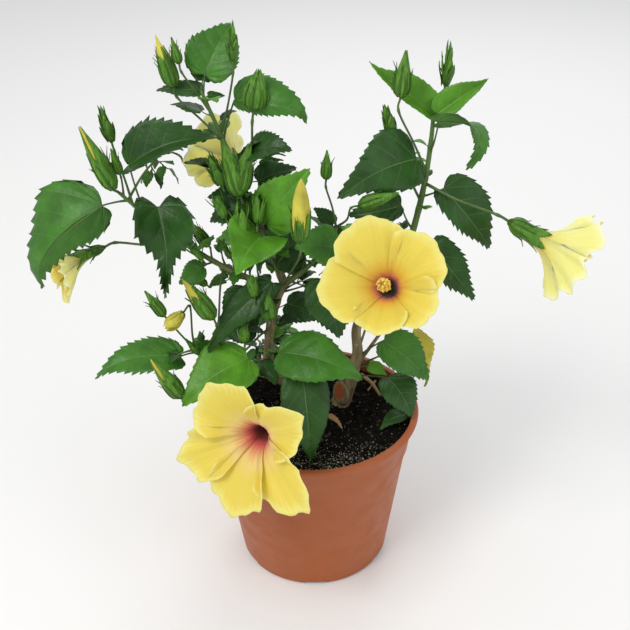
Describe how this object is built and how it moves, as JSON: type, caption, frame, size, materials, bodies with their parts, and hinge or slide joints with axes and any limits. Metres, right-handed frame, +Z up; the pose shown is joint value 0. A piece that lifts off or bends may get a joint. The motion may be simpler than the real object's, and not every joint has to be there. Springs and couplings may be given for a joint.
{
  "type": "potted hibiscus shrub",
  "caption": "Young yellow-flowered hibiscus shrub with forked woody stems, toothed heart-shaped leaves, upright buds and open blooms, in a round tapered nursery pot",
  "frame": {"origin": "centre of the pot's flat underside, on the ground", "axes": "+Z up the plant, +X to the right and -Y towards the front, where the two open blooms face"},
  "size_m": [0.4482, 0.2759, 0.4951],
  "materials": {
    "pot": "satin moulded plastic, terracotta coloured",
    "soil": "matt, dark moist potting mix with pale specks",
    "bark": "matt grey-brown bark",
    "green_stem": "satin green young wood",
    "leaf_green": "satin leaf, mid green",
    "leaf_bright": "satin leaf, bright young green",
    "leaf_dark": "satin leaf, dark green",
    "leaf_yellowing": "satin leaf turning yellow",
    "bud": "satin green calyx with a yellow tip",
    "petal": "soft matt yellow petal with a maroon throat"
  },
  "bodies": {
    "root": {"back_bough_centre": "green_stem", "back_bough_low": "green_stem", "back_bough_right": "green_stem", "bloom_back": "petal", "bloom_far_left": "petal", "bloom_far_right": "petal", "bloom_front_open": "petal", "bloom_right_open": "petal", "bud_centre_yellow": "bud", "bud_left_large": "bud", "bud_left_tall": "bud", "bud_low_left": "bud", "bud_low_left_yellow": "bud", "bud_middle": "bud", "bud_top": "bud", "bud_top_right": "bud", "bud_upper_left": "bud", "bud_upper_right": "bud", "centre_leader": "green_stem", "centre_stem": "bark", "foliage_back_centre": "leaf_green", "foliage_back_left": "leaf_green", "foliage_back_low": "leaf_green", "foliage_back_right": "leaf_green", "foliage_back_upper_right": "leaf_green", "foliage_centre_bright": "leaf_bright", "foliage_centre_dark": "leaf_dark", "foliage_centre_front": "leaf_bright", "foliage_centre_low": "leaf_dark", "foliage_crown_left": "leaf_bright", "foliage_far_left": "leaf_green", "foliage_front_hanging": "leaf_dark", "foliage_inner_dark": "leaf_dark", "foliage_left_hanging": "leaf_dark", "foliage_left_inner": "leaf_dark", "foliage_low_centre": "leaf_green", "foliage_low_left_bright": "leaf_bright", "foliage_low_left_outer": "leaf_green", "foliage_low_right": "leaf_green", "foliage_low_right_yellowing": "leaf_yellowing", "foliage_middle_front": "leaf_green", "foliage_right_arch": "leaf_green", "foliage_right_dark": "leaf_dark", "foliage_right_inner": "leaf_dark", "foliage_right_low_outer": "leaf_dark", "foliage_right_outer": "leaf_dark", "foliage_rim_right": "leaf_dark", "foliage_top_right_inner": "leaf_bright", "foliage_top_right_outer": "leaf_bright", "foliage_upper_arch": "leaf_green", "foliage_upper_centre": "leaf_dark", "foliage_upper_left": "leaf_dark", "left_bough": "green_stem", "left_stem": "bark", "low_left_bough": "bark", "middle_shoot": "green_stem", "pot": "pot", "right_stem": "green_stem", "soil": "soil", "trunk": "bark"}
  },
  "joints": []
}
